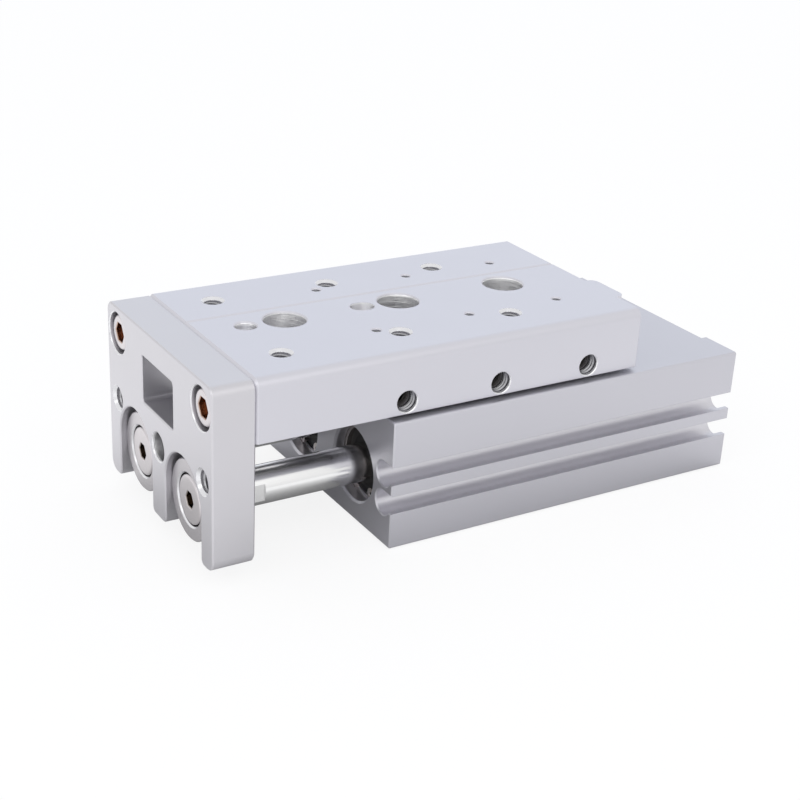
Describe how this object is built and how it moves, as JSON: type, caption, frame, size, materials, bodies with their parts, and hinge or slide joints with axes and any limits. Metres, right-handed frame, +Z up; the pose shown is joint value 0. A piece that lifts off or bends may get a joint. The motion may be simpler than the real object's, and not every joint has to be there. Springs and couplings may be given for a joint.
{
  "type": "slide table cylinder",
  "caption": "Twin-rod pneumatic cylinder whose end plate carries a table on a crossed roller guide, for moving a load back and forth precisely.",
  "frame": {"origin": "middle of the pattern of mounting holes, on the bottom face of the cylinder body", "axes": "+X along the stroke from the end plate to the body's rear end, +Y across towards the air ports, +Z up"},
  "size_m": [0.1428, 0.062, 0.0469],
  "materials": {
    "anodised_body": "satin anodised extrusion",
    "anodised_table": "satin anodised",
    "anodised_plate": "satin anodised",
    "ground_steel": "ground",
    "bearing_steel": "polished",
    "cage_resin": "matt",
    "screw_steel": "plated",
    "black_steel": "black oxide",
    "bushing_steel": "turned",
    "chromed_rod": "hard chrome",
    "machined_aluminium": "turned",
    "cover_resin": "matt black",
    "bearing_bronze": "sintered",
    "wear_resin": "matt",
    "magnet": "matt",
    "seal_rubber": "matt",
    "bumper_rubber": "matt",
    "spring_steel": "phosphated"
  },
  "bodies": {
    "cylinder": {"cylinder_body": "anodised_body", "guide_rail": "ground_steel", "guide_rail_screws": "screw_steel", "cage_stop_screws": "screw_steel", "rod_cover_near": "cover_resin", "rod_cover_far": "cover_resin", "rod_seals": "seal_rubber", "rod_bushings": "bearing_bronze", "cover_o_rings": "seal_rubber", "front_retaining_rings": "spring_steel", "front_bumpers": "bumper_rubber", "head_cap_near": "machined_aluminium", "head_cap_far": "machined_aluminium", "head_cap_o_rings": "seal_rubber", "rear_retaining_rings": "spring_steel", "rear_bumpers": "bumper_rubber"},
    "table": {"slide_table": "anodised_table", "table_rail_near": "ground_steel", "table_rail_far": "ground_steel", "table_rail_screws": "screw_steel", "preload_screws": "black_steel", "end_plate": "anodised_plate", "end_plate_screws": "screw_steel", "floating_bushing_near": "bushing_steel", "floating_bushing_far": "bushing_steel", "rod_end_screw_near": "screw_steel", "rod_end_screw_far": "screw_steel", "piston_rod_near": "chromed_rod", "piston_rod_far": "chromed_rod", "piston_near": "machined_aluminium", "piston_far": "machined_aluminium", "piston_nuts": "screw_steel", "piston_seals": "seal_rubber", "piston_magnets": "magnet", "wear_rings": "wear_resin"},
    "roller_cages": {"roller_cage_near": "cage_resin", "roller_cage_far": "cage_resin", "rollers_near": "bearing_steel", "rollers_far": "bearing_steel"}
  },
  "joints": [
    {"name": "stroke", "type": "slide", "parent": "cylinder", "child": "table", "axis": [1, 0, 0], "range_m": [0, 0.03]},
    {"name": "cage_travel", "type": "slide", "parent": "cylinder", "child": "roller_cages", "axis": [1, 0, 0], "range_m": [0, 0.015]}
  ],
  "couplings": [
    {"joint": "cage_travel", "follows": "stroke", "ratio": 0.5}
  ]
}
